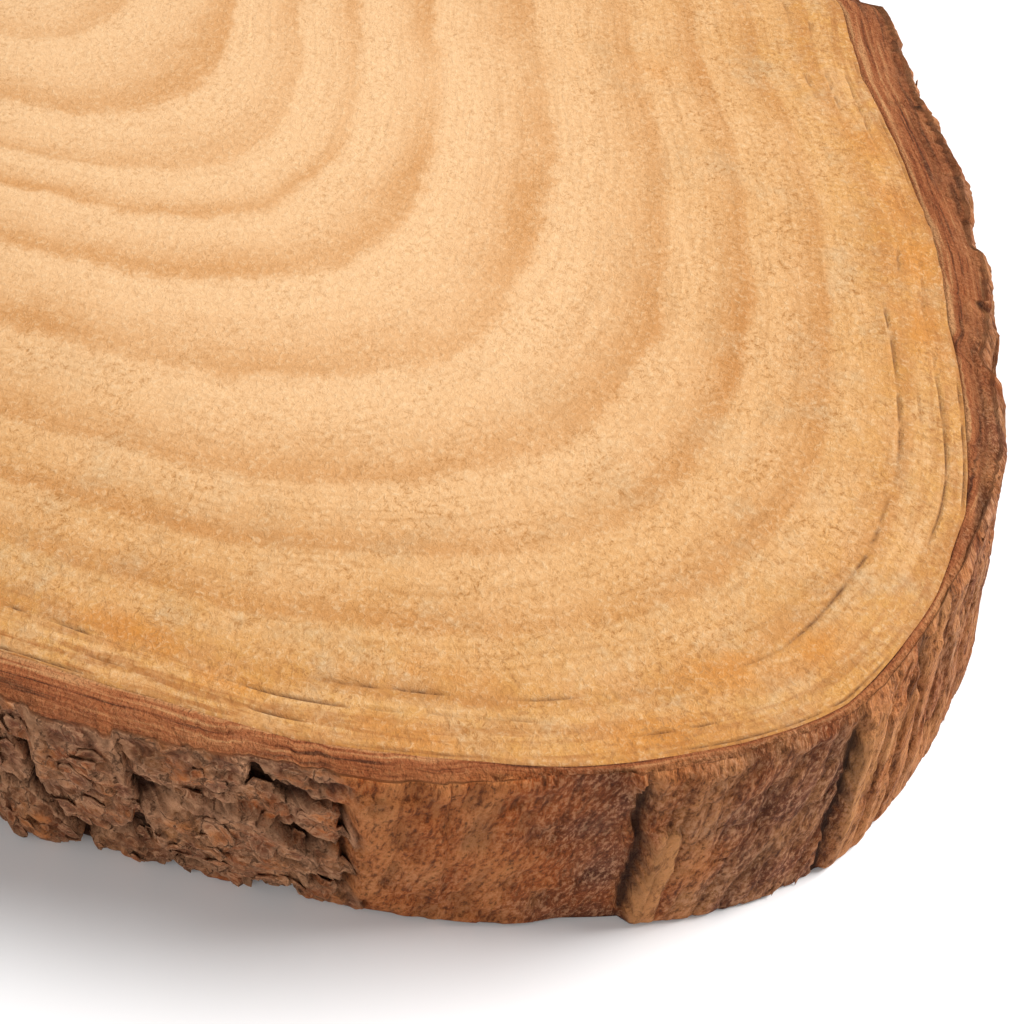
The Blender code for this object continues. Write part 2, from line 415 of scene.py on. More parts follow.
def plate_relief(angle, z, sizes):
    """Scaly plates on a bed that is darkened with painted shade: each a rounded box with a ragged edge.

    A plate's height is its own level, a low dome, a turned-up edge, and thin sheets and flakes
    broken away in steps. Returns the height, the share of painted highlight on the turned-up edges
    and lips, the share of painted shade in the bed and along the gaps between flakes, how near a
    plate's middle is, and the flake's own random value.
    """
    x, y = on_drum(angle)
    ragged = ripples(x, y, z, (0.14, 2.6, 2.6, 11), (0.1, 1, 1, 12))
    bend = ripples(x, y, z, (0.35, 1.5, 1.5, 16))
    flake, gap = cells(x / 2.1 + bend, y / 2.1 - bend, z / 1.7 + bend, 17)
    chip, chip_gap = cells(x / 0.95 + bend, y / 0.95 + bend, z / 0.8 - bend, 21)
    steps = ripples(x, y, z, (2.2, 6.5, 5, 13), (1.1, 3.25, 2.5, 30), (0.55, 1.625, 1.25, 47))
    steps = np.floor(steps) + smooth(0.8, 1, steps - np.floor(steps))
    sheets = 0.24 * steps + 0.36 * flake + 0.14 * chip
    brim = 0.8 * smooth(0.24, 0.03, gap) + 0.3 * smooth(0.25, 0.02, chip_gap)
    floor = -sizes.bed_depth * (1 - 0.6 * smooth(2.6, 0.6, THICKNESS - z))
    height = floor + ripples(x, y, z, (0.3, 1.5, 1.5, 15)) + 0.15 * chip
    edge, middle = np.zeros(x.shape), np.zeros(x.shape)
    for place, level_at, half_wide, half_high, tilt, level in plate_table(sizes):
        across = DRUM * turned(angle, place)
        up = z - level_at
        tip = math.radians(tilt)
        u = (across * math.cos(tip) + up * math.sin(tip)) / half_wide
        v = (up * math.cos(tip) - across * math.sin(tip)) / half_high
        reach = (np.abs(u) ** 2.6 + np.abs(v) ** 2.6) ** (1 / 2.6) + ragged
        top = level + 0.6 * (1 - reach ** 2) + 0.35 * smooth(0.66, 0.9, reach) + sheets - 0.22 * brim
        top = top + (floor - top) * smooth(0.93, 1, reach)
        higher = (top > height) & (reach < 1)
        height = np.where(higher, top, height)
        edge = np.where(higher, smooth(0.74, 0.9, reach), edge)
        middle = np.where(higher, 1 - np.clip(reach, 0, 1), middle)
    # Painted shade from how deep the bed lies and from the gaps between flakes, and painted highlight on
    # the turned-up edges and lips.
    bed = smooth(-0.5, -1.3, height)
    lip = smooth(0.3, 0.05, gap) * smooth(-0.2, 0.5, flake) + 0.5 * smooth(0.25, 0.05, chip_gap)
    return height, edge + 0.6 * lip * (1 - bed), np.maximum(bed, 0.38 * brim), middle, flake


def lean(angle):
    """How far the grain turns round the trunk for each millimetre up, in radians."""
    return np.radians(0.08 + 0.04 * np.cos(angle))


def rubbed_relief(x, y, z):
    """Bark rubbed down to its under-layer: low swells, cut by short pits that lean with the grain."""
    swell = ripples(x, y, z, (0.22, 5, 7, 33), (0.14, 2.2, 3, 34))
    pit = 0.3 * smooth(0.05, 0.55, noise(x, y, z / 2.6, 31))
    return 0.2 + swell - pit, pit


def stringy_relief(x, y, z, long):
    """Fibres: thin grooves where noise that is stretched up the trunk passes through nought. Long
    fibres have far-reaching grooves, short ones have crinkled grooves, and `long` blends them."""
    x, y = (
        a + ripples(x, y, z, (0.6, 5, 8, slow), (0.15, 2, 3, quick))
        for a, slow, quick in ((x, 41, 45), (y, 46, 47)))
    far, short, far_hair, short_hair = (
        smooth(width, 0, np.abs(noise(x / wide, y / wide, z / tall, seed)))
        for width, wide, tall, seed in (
            (0.17, 2, 16, 42), (0.22, 1.5, 4, 49), (0.3, 1.3, 9, 43), (0.32, 1.1, 3, 50)))
    groove = short + (far * 1.3 - short) * long
    hair = short_hair + (far_hair - short_hair) * long
    swell = ripples(x, y, z, (0.35, 2.6, 6, 44))
    return 0.2 + swell - 0.6 * groove - 0.22 * hair, np.clip(0.46 * groove + 0.16 * hair, 0, 1)


def split_relief(angle, z):
    """Splits: V-shaped grooves that drift and wobble as they climb and close at their ends."""
    x, y = on_drum(angle)
    depth = np.zeros(x.shape)
    wobble = ripples(x, y, z, (0.4, 5, 6, 51), (0.15, 1.8, 2.4, 52))
    lie = z / THICKNESS
    for centre, drift, half_width, deep, low, high in SPLITS:
        away = DRUM * turned(angle, centre + drift * (lie - 0.5)) + wobble
        groove = np.clip(1 - np.abs(away) / (1.8 * half_width), 0, 1) ** 0.6
        opened = smooth(low - 0.02, low + 0.12, lie) * smooth(high + 0.02, high - 0.12, lie)
        depth = np.maximum(depth, deep * opened * groove)
    return depth


def strip_relief(angle, z):
    """Proud strips: each rises in a step, slopes away, has a seam along it and a ragged top end."""
    rise, tan = np.zeros(angle.shape), np.zeros(angle.shape)
    wobble = 0.07 * noise(z / 6, 6 * angle, 0, 53) + 0.05 * noise(z / 2, 12 * angle, 0, 54)
    around = np.degrees(turned(angle)) + wobble - STRIP_LEAN * (z / THICKNESS - 0.5)
    tear = 2 * noise(40 * angle, z / 2, 0, 59)
    for start, end, reach, proud, shade in STRIPS:
        share = smooth(start - 0.1, start + 0.08, around) * smooth(end + 0.06, end - 0.14, around)
        share = share * smooth(-0.5, 0.7, reach + tear - z)
        seam = np.clip(1 - np.abs(around - 0.5 * (start + end)) / 0.2, 0, 1)
        slope = 1 - 0.3 * np.clip((around - start) / (end - start), 0, 1) - 0.4 * seam
        rise = np.maximum(rise, proud * share * slope * (0.5 + 0.5 * smooth(0, 8, z)))
        tan = np.maximum(tan, shade * share)
    return rise, tan


def lost_layers(angle, z):
    """Depth of the layers lost: each falls in a step at one side and fades out at the other."""
    around = np.degrees(turned(angle)) + 0.25 * noise(z / 3, 0, 0, 55)
    depth = 0
    for step, fade, deep in LOST_LAYERS:
        past = (around - step) * np.sign(fade - step)
        depth = depth + deep * smooth(-0.2, 0.2, past) * smooth(abs(fade - step), 0.4, past)
    return depth


def bark_surface(angle, z, sizes):
    """The wall's height over the outline and what its finish needs, at any angles and heights: the
    sum of the three kinds of relief, each as much as its wear is there, less the splits and the
    lost layers, and calmer close to the saw cuts."""
    angle, z = np.broadcast_arrays(angle, z)
    x, y = on_drum(angle - lean(angle) * z)
    ragged = angle + np.radians(0.5) * noise(z / 2.2, 8 * angle, 0, 56)
    scaly, rubbed, stringy, rusty, tan = (listed(WEAR, ragged, column) for column in range(1, 6))
    plate, curl, bed, middle, flake = plate_relief(angle, z, sizes)
    worn, pit = rubbed_relief(x, y, z)
    split = split_relief(angle, z)
    rise, strip = strip_relief(angle, z)
    fibre, groove = stringy_relief(x, y, z, np.maximum(listed(WEAR, angle, LONG), strip))
    calm = 1 - 0.5 * smooth(2, 0, z) - 0.4 * smooth(1.6, 0, THICKNESS - z)
    stringy = (1 - 0.55 * strip) * stringy
    height = calm * (scaly * plate + rubbed * worn + stringy * fibre + rise - split)
    height = height - lost_layers(angle, z) - 0.3
    patch = noise(x / 3.2, y / 3.2, z / 4, 57)
    warm = 0.45 * flake + 1.2 * (middle - 0.35) * smooth(-0.1, 0.4, patch)
    # Painted shade in the bed, pits, grooves and splits, and painted highlight on the turned-up edges of
    # the plates.
    layers = {
        "hollow": np.maximum(scaly * bed + rubbed * pit + 0.85 * stringy * groove, smooth(0.5, 1.3, split)),
        "curl": np.minimum(curl, 1) * scaly,
        "rusty": rusty + 0.35 * patch + scaly * warm,
        "tan": np.maximum(tan, strip) + 0.3 * noise(x / 1.6, y / 1.6, z / 5, 58),
        "scaly": scaly,
    }
    layers = {key: np.clip(values, 0, 1) for key, values in layers.items()}
    lifted = 1 + height / DRUM
    layers["drift"] = np.stack([x * lifted, y * lifted, z], axis=-1)
    return height, layers


def bark_columns(sizes):
    """Angles of the bark's columns: closest together over the bulge, where it is seen nearest."""
    near = smooth(62, 30, np.abs(np.degrees(turned(EVEN, -3))))
    density = 1 / sizes.coarse_step + near * (1 / sizes.fine_step - 1 / sizes.coarse_step)
    count = np.concatenate(([0], np.cumsum(STEP * density)))
    wanted = int(count[-1])
    return np.interp(np.arange(wanted) * count[-1] / wanted, count, np.append(EVEN, TURN))


def bark_piece(sizes):
    """A closed ring whose section runs out over the top rim, down the wall, back under and up. The
    rims are grooved where the bark's thin sheets part."""
    angle = bark_columns(sizes)[None, :]
    x, y = on_drum(angle)
    stringy = listed(WEAR, angle, STRINGY)
    top = THICKNESS - 0.05 - (0.15 + 0.15 * noise(x / 3, y / 3, 0, 61)) * (1 + stringy)
    foot = 0.17 + 0.15 * noise(x / 2, y / 2, 0, 62)
    z = foot + (top - foot) * np.linspace(1, 0, sizes.wall_rows)[:, None]
    height, layers = bark_surface(angle, z, sizes)
    rounding = (0.3 + 0.5 * stringy) * smooth(1.2, 0, THICKNESS - z) + 0.25 * smooth(0.7, 0, z)
    radius = np.maximum(outline(angle, z) + height - rounding, cambium(angle, z) + 0.7)

    out = np.linspace(0, 1, sizes.rim_rows, endpoint=False)[:, None]
    nil = np.zeros((sizes.rim_rows, angle.size))
    rim_wear = listed(RIM_WEAR, angle, 1)
    rims = []
    for row, inward, level in ((0, -1, THICKNESS), (-1, 1, 0)):
        inner = cambium(angle, level) - 0.12
        width = radius[row] - inner
        depth = out * width
        sheets = noise(x / 16, y / 16, depth / 0.42 + level, 71) + ripples(x, y, depth, (0.6, 7, 0.25, 72))
        parted = smooth(0.12, 0.75, sheets) * smooth(0.3, 0.9, depth)
        crumbled = smooth(0.35, 1, out) * (0.5 + 0.5 * noise(x / 0.9, y / 0.9, depth / 0.8, 73))
        worn = smooth(0.25, 0.65, out + 0.35 * noise(x / 1.5, y / 1.5, depth / 0.7, 74)) * rim_wear
        sunk = 0.1 * smooth(0.2, 0, out) + 0.3 * parted + (0.25 + 0.4 * worn) * crumbled
        rim = polar(inner + depth, angle, level + (z[row] - level) * out ** 3 + inward * sunk)
        flat = {key: nil + layers[key][row] if key in ("rusty", "tan") else nil for key in layers}
        # Painted shade where the rim's sheets part and crumble.
        flat.update(
            place=rim, drift=rim, hollow=0.4 * parted + 0.3 * crumbled,
            depth=depth + np.clip(4 - width, 0, 2.2), sawn=1 - worn)
        rims.append(flat)
    layers.update(place=polar(radius, angle, z), depth=radius - cambium(angle, z), sawn=0 * radius)
    top, foot = rims
    layers = {key: np.concatenate([top[key], layers[key], foot[key][::-1]])[None] for key in layers}
    return solids("bark", layers.pop("place"), False, layers)


def scattered(count, wanted, seed):
    """Random places on the wall, kept as often as the wear that is wanted is there."""
    rng = np.random.default_rng(seed)
    angle = rng.uniform(0, TURN, 12 * count)
    z = rng.uniform(1, THICKNESS - 2.4, 12 * count)
    kept = np.flatnonzero(rng.uniform(0.25, 1, angle.size) < wanted(angle))[:count]
    return angle[kept], z[kept], rng


def small_bodies(name, angle, z, lift, hollow, curl, sizes):
    """Closed bodies that lie on the bark: rows and columns of angles, heights and lifts off it."""
    z = np.clip(z, 0.05, THICKNESS - 0.08)
    height, layers = bark_surface(angle, z, sizes)
    middle = height.mean(axis=(1, 2), keepdims=True)
    radius = outline(angle, z) + 0.5 * height + 0.5 * middle + lift
    flat = np.zeros(radius.shape)
    # Painted shade and painted highlight shares, as the caller gives them for each row.
    layers.update(hollow=flat + hollow, curl=flat + curl, depth=flat + 3, sawn=flat)
    return solids(name, polar(radius, angle, z), True, layers)


def scale_piece(sizes):
    """Thin scales on the plates: rows run from a scale's middle to its ragged rim, over its
    thickness and back below. The rim lifts on one side by a raised cosine round it."""
    angle, z, rng = scattered(sizes.scales, lambda a: listed(WEAR, a, SCALY), 91)
    ground, _ = bark_surface(angle, z, sizes)
    kept = ground > -1.2
    angle, z = angle[kept], z[kept]
    bodies, columns = len(angle), 12
    around = np.linspace(0, TURN, columns, endpoint=False)
    each = (bodies, 1, 1)
    size, stretch = rng.uniform(0.5, 1.5, each), rng.uniform(0.8, 1.6, each)
    rim = rng.uniform(0.72, 1.12, (bodies, 1, columns))
    reach = np.array([0, 0.6, 1, 0.97, 0])[:, None] * size * rim
    raised = (0.5 + 0.5 * np.cos(around - rng.uniform(0, TURN, each))) ** 2
    tip = 0.08 + rng.uniform(0.1, 0.75, each) * raised
    under = tip - 0.16
    flat = 0 * rim
    lift = np.concatenate([flat + 0.1, 0.1 + 0.3 * tip, tip + flat, under + flat, flat - 0.5], axis=1)
    # Painted highlight on the scale's rim, painted shade on its underside.
    curl = np.array([0, 0.15, 1, 0.6, 0])[:, None]
    hollow = np.array([0, 0, 0, 0.5, 1])[:, None]
    place = angle[:, None, None] + reach * np.cos(around) / DRUM
    up = z[:, None, None] + stretch * reach * np.sin(around)
    return small_bodies("loose_scales", place, up, lift, hollow, curl, sizes)


def fibre_piece(sizes):
    """Torn fibres: rows run down a fibre from its upper point to its foot. Its section is an oval
    that swells by a rounded sine, and it leans and sways with the bark's grain."""
    angle, z, rng = scattered(
        sizes.fibres, lambda a: listed(WEAR, a, STRINGY) + 0.3 * listed(WEAR, a, RUBBED), 92)
    whole = (split_relief(angle, z) < 0.1) & (strip_relief(angle, z)[0] < 0.1)
    angle, z = angle[whole][:, None, None], z[whole][:, None, None]
    length, half, lift = (
        rng.uniform(low, high, angle.shape) for low, high in ((1.5, 6.5), (0.12, 0.32), (0, 0.18)))
    rows, columns = 8, 6
    along = np.linspace(0.5, -0.5, rows)[:, None]
    around = np.linspace(0, TURN, columns, endpoint=False)
    swell = np.sqrt(np.clip(np.cos(math.pi * along), 0, 1))
    up = z + along * length
    sway = 0.5 * noise(*on_drum(angle), up / 4, 93)
    middle = angle + lean(angle) * along * length + sway / DRUM
    uneven = 1 + 0.3 * noise(up / 1.2, 40 * angle, 0, 94)
    facing = np.cos(around)
    place = middle + half * swell * uneven * np.sin(around) / DRUM
    off = lift + (0.7 * half * uneven * facing - 0.25) * swell
    # Painted light by side: a painted highlight on the side of each fibre that faces out, painted shade on
    # the side toward the bark.
    return small_bodies(
        "torn_fibres", place, up + 0 * around, off, 0.25 - 0.25 * facing, 0.12 + 0.12 * facing, sizes)


# ---- Finishes ----

# Settings that many nodes share, and a noise's inputs: where it lies, one over its size, and its kind.
TIMES = {"operation": "MULTIPLY"}
PLUS = {"operation": "MULTIPLY_ADD"}
SOFT = {"interpolation_type": "SMOOTHSTEP"}
RGBA = {"out": 2, "data_type": "RGBA"}
NOISE = ("Vector", "Scale", "Detail", "Roughness", "Distortion")


def add(tree, kind, inputs=(), out=0, stops=(), **settings):
    """Adds a node with its settings, inputs, links and ramp stops, and returns one of its outputs."""
    node = tree.nodes.new("ShaderNode" + kind)
    for key, value in settings.items():
        setattr(node, key, value)
    for key, value in (inputs.items() if isinstance(inputs, dict) else enumerate(inputs)):
        if isinstance(value, bpy.types.NodeSocket):
            tree.links.new(value, node.inputs[key])
        else:
            node.inputs[key].default_value = value
    for step, (place, value) in enumerate(stops):
        elements = node.color_ramp.elements
        element = elements[step] if step < len(elements) else elements.new(place)
        element.position = place
        element.color = value if isinstance(value, tuple) else (value, value, value, 1)
    return node.outputs[out] if node.outputs else None


def finish_tree(name):
    """A material with an empty tree, a short way to add nodes to it, and places in millimetres."""
    material = bpy.data.materials.new(name)
    material.use_nodes = True
    material.node_tree.nodes.clear()
    node = functools.partial(add, material.node_tree)
    return material, node, node("VectorMath", [node("TexCoord", out="Object"), (1 / MM,) * 3], **TIMES)


def rgba(colour):
    """A colour property with its alpha."""
    return (*colour[:3], 1)


def tinted(node, colours, colour, layers):
    """Lays tints over a colour, one on another.

    A layer is a pattern, two of its values, the share of tint at each, what the share is multiplied
    by, and the tint, as a colour's name or a pattern.
    """
    for pattern, low, high, start, end, times, tint in layers:
        share = node("MapRange", [pattern, low, high, start, end])
        share = node("Math", [share, times], use_clamp=True, **TIMES)
        over = rgba(getattr(colours, tint)) if isinstance(tint, str) else tint
        colour = node("Mix", {0: share, 6: colour, 7: over}, **RGBA)
    return colour


def surface_from(node, colour, roughness, height, depth, strength, gloss):
    """The shader: its colour, roughness and relief from patterns, its gloss the same all over."""
    bump = node("Bump", {"Height": height, "Strength": strength, "Distance": depth * MM})
    shader = node("BsdfPrincipled", {
        "Base Color": colour, "Roughness": roughness, "Normal": bump, "IOR": 1.45,
        "Specular IOR Level": gloss})
    node("OutputMaterial", [shader])


def sawn_softwood(colours):
    """Sawn, unfinished softwood: band-sawn end grain, dry and matt.

    The eye gets pale spring wood that deepens to tan by each year's end, a felt of torn fibres in
    painted shade and painted highlights, fine lines along the rings, and by the bark a golden cast,
    resin, streaks and drying cracks darkened with painted shade.
    """
    material, node, place = finish_tree("sawn_softwood")
    years, late_strength, inset, ring, crack, stain = (
        node("Attribute", attribute_name=name, out="Fac")
        for name in ("years", "late", "inset", "ring", "crack", "stain"))

    # Lines along the rings, streaks along the bark and rays: where they lie, their length and width.
    x, y = (node("SeparateXYZ", [place], out=k) for k in (0, 1))
    away = node("VectorMath", [place, tuple(PITH)], operation="SUBTRACT")
    facing = node("VectorMath", [away], operation="NORMALIZE")
    round_x, round_y = (node("SeparateXYZ", [facing], out=k) for k in (0, 1))
    rings, edge, rays = (
        node("VectorMath", [node("CombineXYZ", spot), (1 / far, 1 / far, 1 / wide)], **TIMES)
        for spot, far, wide in (
            ((x, y, ring), 15, 0.75), ((x, y, inset), 9, 0.8),
            ((round_x, round_y, inset), 0.42 / DRUM, 1.6)))

    # Noises. Felt and curls are the fibres that a blade tears, half a millimetre to two long.
    slow, quick, patch, cloud, grey, amber, soak, felt, curls, clump, line, streak, tick = (
        node("TexNoise", dict(zip(NOISE, row))) for row in (
            (place, 1 / 14, 3, 0.6, 0), (place, 1 / 1.9, 4, 0.7, 0.8), (place, 1 / 26, 2, 0.5, 0),
            (place, 1 / 12, 3, 0.6, 0), (place, 1 / 7, 4, 0.7, 0), (place, 1 / 3.4, 5, 0.7, 0),
            (place, 1 / 2.4, 4, 0.65, 0), (place, 1 / 0.62, 4, 0.75, 0.4), (place, 0.8, 2, 0.5, 1.2),
            (place, 1 / 4.5, 2, 0.5, 0), (rings, 1, 3, 0.6, 0.15), (edge, 1, 3, 0.6, 0.2),
            (rays, 1, 1, 0.5, 0)))

    # Years: the count of rings, made uneven, then how far through its year each point grew.
    count = node("Math", [slow, 0.36, years], **PLUS)
    count = node("Math", [quick, 0.3, count], **PLUS)
    season = node("Math", [node("Math", [count, 0.33], operation="SUBTRACT")], operation="FRACT")
    late = node("ValToRGB", [season], stops=(
        (0, 0.35), (0.08, 0.1), (0.3, 0.12), (0.6, 0.45), (0.82, 0.95), (0.92, 1), (1, 0.55)))
    late = node("Math", [late, late_strength], **TIMES)
    late = node("Math", [late, node("MapRange", [patch, 0.3, 0.7, 0.45, 1.15])], use_clamp=True, **TIMES)
    colour = node("Mix", {0: late, 6: rgba(colours.spring_wood), 7: rgba(colours.summer_wood)}, **RGBA)

    # The outer wood is darker and more golden, in soft patches.
    near, joint, young, margin = (
        node("MapRange", [inset, start, end, share, 0], **SOFT)
        for start, end, share in ((0, 62, 1), (0, 0.8, 0.65), (1, 20, 1), (0.3, 9, 1)))
    golden = node("Math", [near, node("MapRange", [cloud, 0.3, 0.7, 0.55, 1])], **TIMES)
    colour = node("Mix", {0: golden, 6: colour, 7: rgba(colours.sapwood)}, blend_type="MULTIPLY", **RGBA)

    # What the layers are multiplied by, and the patterns that need more than a range.
    thread = node("Math", [node("Math", [curls, 0.5], operation="SUBTRACT")], operation="ABSOLUTE")
    thread = node("MapRange", [thread, 0, 0.045, 1, 0])
    clump = node("MapRange", [clump, 0.35, 0.65, 0.35, 1])
    shade = node("Math", [clump, node("MapRange", [near, 0, 1, 0.8, 2])], **TIMES)
    soak = node("Math", [soak, 1.5, stain], **PLUS)
    stained = node("Math", [stain, 0.02], operation="GREATER_THAN")
    margin = node("Math", [margin, node("MapRange", [y, -60, -25, 1, 0.5])], **TIMES)
    chips = node("MapRange", [quick, 0.4, 0.55, 0.45, 1])
    # The felt of torn fibres is painted shade between them and painted highlights on their lit ends and
    # loose threads; the drying cracks get painted shade, in the same dark colour as the rays.
    colour = tinted(node, colours, colour, (
        (grey, 0.52, 0.7, 0, 0.6, near, "weathered"),
        (line, 0.5, 0.7, 0, 0.4, node("MapRange", [near, 0, 0.9, 0.35, 1]), "fibre_shadow"),
        (joint, 0, 1, 0, 1, 1, "streak"),
        (amber, 0.46, 0.62, 0, 0.55, young, "amber"),
        (soak, 0.85, 1.55, 0, 0.62, stained, "resin_stain"),
        (felt, 0.32, 0.49, 0.7, 0, shade, "fibre_shadow"),
        (felt, 0.53, 0.68, 0, 0.34, 1, "torn_fibre"),
        (thread, 0, 1, 0, 0.1, clump, "torn_fibre"),
        (streak, 0.45, 0.6, 0, chips, margin, "streak"),
        (tick, 0.58, 0.74, 0, 0.22, node("MapRange", [inset, 2, 24, 1, 0]), "deep_shadow"),
        (felt, 0.38, 0.52, 0.3, 1, crack, "deep_shadow")))

    height = node("Math", [thread, 0.08, felt], **PLUS)
    height = node("Math", [line, 0.4, height], **PLUS)
    rough = node("Math", [felt, 0.2, 0.62], **PLUS)
    surface_from(node, colour, rough, height, 0.3, 0.7, 0.2)
    return material


def pine_bark(colours):
    """Dry conifer bark: grey-brown scales outside, rust red where rubbed, layered where sawn.

    The eye gets fissures and hollows darkened with painted shade, pale turned-up edges with
    painted highlights, strokes with painted highlights and painted shade, long tan fibres, and on
    the rims the thin dark sheets that the bark is built from.
    """
    material, node, place = finish_tree("pine_bark")
    hollow, curl, rusty, tan, scaly, sawn, depth = (
        node("Attribute", attribute_name=name, out="Fac")
        for name in ("hollow", "curl", "rusty", "tan", "scaly", "sawn", "depth"))
    drift = node("Attribute", attribute_name="drift", out="Vector")

    # Long and short strokes up the wall, and thin sheets on the rims: where they lie and their sizes.
    x, y = (node("SeparateXYZ", [place], out=k) for k in (0, 1))
    long, short, rims = (
        node("VectorMath", [spot, (1 / wide, 1 / wide, 1 / tall)], **TIMES)
        for spot, wide, tall in (
            (drift, 0.55, 3.2), (drift, 0.36, 0.85), (node("CombineXYZ", [x, y, depth]), 14, 0.62)))

    # Noises. Scaly stretches have blotches in place of strokes.
    mottle, grit, flake, grain, hatch, sheet = (
        node("TexNoise", dict(zip(NOISE, row))) for row in (
            (place, 1 / 3.4, 5, 0.7, 0), (place, 1 / 0.42, 3, 0.65, 0), (place, 1 / 1.3, 4, 0.7, 1),
            (long, 1, 4, 0.7, 0.2), (short, 1, 4, 0.72, 0), (rims, 1, 4, 0.65, 0.2)))
    grain = node("Mix", {0: scaly, 2: grain, 3: mottle}, data_type="FLOAT")
    hatch = node("Mix", {0: scaly, 2: hatch, 3: flake}, data_type="FLOAT")

    # Scaly stretches: thin cracks between chips, darkened with painted shade, with a pale broken edge along
    # them that carries a painted highlight.
    warp = node("TexNoise", dict(zip(NOISE, (place, 1 / 1.5, 3, 0.6, 0))), out="Color")
    warp = node("VectorMath", [warp, (2,) * 3, place], **PLUS)
    crackle = node("TexVoronoi", {"Vector": warp, "Scale": 1 / 2.6}, feature="DISTANCE_TO_EDGE")
    broken = node("Math", [node("MapRange", [flake, 0.44, 0.58]), scaly], **TIMES)
    chink = node("Math", [node("MapRange", [crackle, 0.01, 0.06, 0.75, 0]), broken], **TIMES)

    # The wall: grey to brown in patches, rust and tan where it is worn, then strokes with painted
    # highlights and painted shade between them, pale edges with painted highlights, and painted shade in
    # the chinks.
    rust = node("Math", [mottle, 0.7, rusty], **PLUS)
    bleached = node("Math", [grain, 1.1, tan], **PLUS)
    lit = node("Mix", {0: rusty, 6: rgba(colours.bark_edge), 7: rgba(colours.rust_highlight)}, **RGBA)
    fresh = node("MapRange", [tan, 0.55, 1, 1, 0.3])
    colour = tinted(node, colours, rgba(colours.bark_grey), (
        (mottle, 0.38, 0.62, 0, 1, 1, "bark_brown"),
        (rust, 0.4, 1.15, 0, 1, 1, "bark_rust"),
        (bleached, 0.75, 1.5, 0, 0.85, 1, "bark_tan"),
        (hatch, 0.5, 0.6, 0, 0.72, fresh, lit),
        (hatch, 0.36, 0.48, 0.75, 0, fresh, "bark_dark"),
        (grain, 0.36, 0.47, 0.55, 0, 1, "bark_dark"),
        (grit, 0, 1, 0, 1.3, curl, "bark_edge"),
        (crackle, 0.02, 0.15, 0.75, 0, broken, "bark_edge"),
        (chink, 0, 1, 0, 1, 1, "bark_dark")))

    # The rims are palest inside.
    sheet = node("Math", [sheet, node("MapRange", [depth, 0, 2.2, 0.11, -0.04])])
    rim = node("ValToRGB", [sheet], stops=(
        (0.34, rgba(colours.rim_dark)), (0.42, rgba(colours.rim_red)), (0.54, rgba(colours.rim_brown)),
        (0.66, rgba(colours.rim_light))))
    rim = tinted(node, colours, rim, (
        (grit, 0.52, 0.7, 0, 0.3, 1, "rim_light"),
        (grit, 0.32, 0.44, 0.3, 0, 1, "rim_dark")))
    # The sawn rims, then painted shade over the hollows, splits and gaps.
    colour = tinted(node, colours, colour, (
        (sawn, 0, 1, 0, 1, 1, rim),
        (hollow, 0, 1, 0, 0.88, 1, "fissure")))

    height = node("Math", [grit, 0.5, grain], **PLUS)
    height = node("Math", [hatch, 0.7, height], **PLUS)
    height = node("Math", [chink, -0.5, height], **PLUS)
    rough = node("Math", [mottle, 0.25, 0.62], **PLUS)
    surface_from(node, colour, rough, height, 0.55, 0.9, 0.12)
    return material


def matt_paper(colours):
    """Matt white paper: a plain sweep that shows only the soft shadow under the slice."""
    material, node, place = finish_tree("matt_paper")
    tooth = node("TexNoise", dict(zip(NOISE, (place, 1 / 0.6, 2, 0.5, 0))))
    rough = node("Math", [tooth, 0.1, 0.85], **PLUS)
    surface_from(node, rgba(colours.floor), rough, tooth, 0.01, 0.2, 0.3)
    return material


# ---- What a user would change ----

def setting(kind, name, description, default, **rest):
    """A property of any kind."""
    return kind(name=name, description=description, default=default, **rest)


def length(name, description, default):
    """A size in millimetres."""
    return setting(FloatProperty, name, description, default, min=0.01, unit="NONE")


def tint(name, description, text):
    """A colour, given as sRGB hex."""
    return setting(FloatVectorProperty, name, description, linear(text), subtype="COLOR", min=0.0, max=1.0)


class SliceSizes(bpy.types.PropertyGroup):
    plate_width: length("Plate width", "Width of one scaly bark plate, in mm", 9.0)
    bed_depth: length("Bed depth", "Depth of the bed between the plates, in mm", 1.7)
    fine_step: length("Fine step", "From one bark column to the next where seen nearest, in mm", 0.3)
    coarse_step: length("Coarse step", "From one bark column to the next elsewhere, in mm", 0.95)
    wall_rows: setting(IntProperty, "Wall rows", "Rows down the bark's wall", 62, min=8)
    rim_rows: setting(IntProperty, "Rim rows", "Rows across each rim of the bark", 9, min=4)
    scales: setting(IntProperty, "Scales", "Loose scales to place", 620, min=1)
    fibres: setting(IntProperty, "Fibres", "Torn fibres to place", 760, min=1)
    wood_columns: setting(IntProperty, "Wood columns", "Columns round the sawn wood", 1000, min=60)
    wood_rows: setting(IntProperty, "Wood rows", "Rows from the pith to the outer wood", 24, min=8)


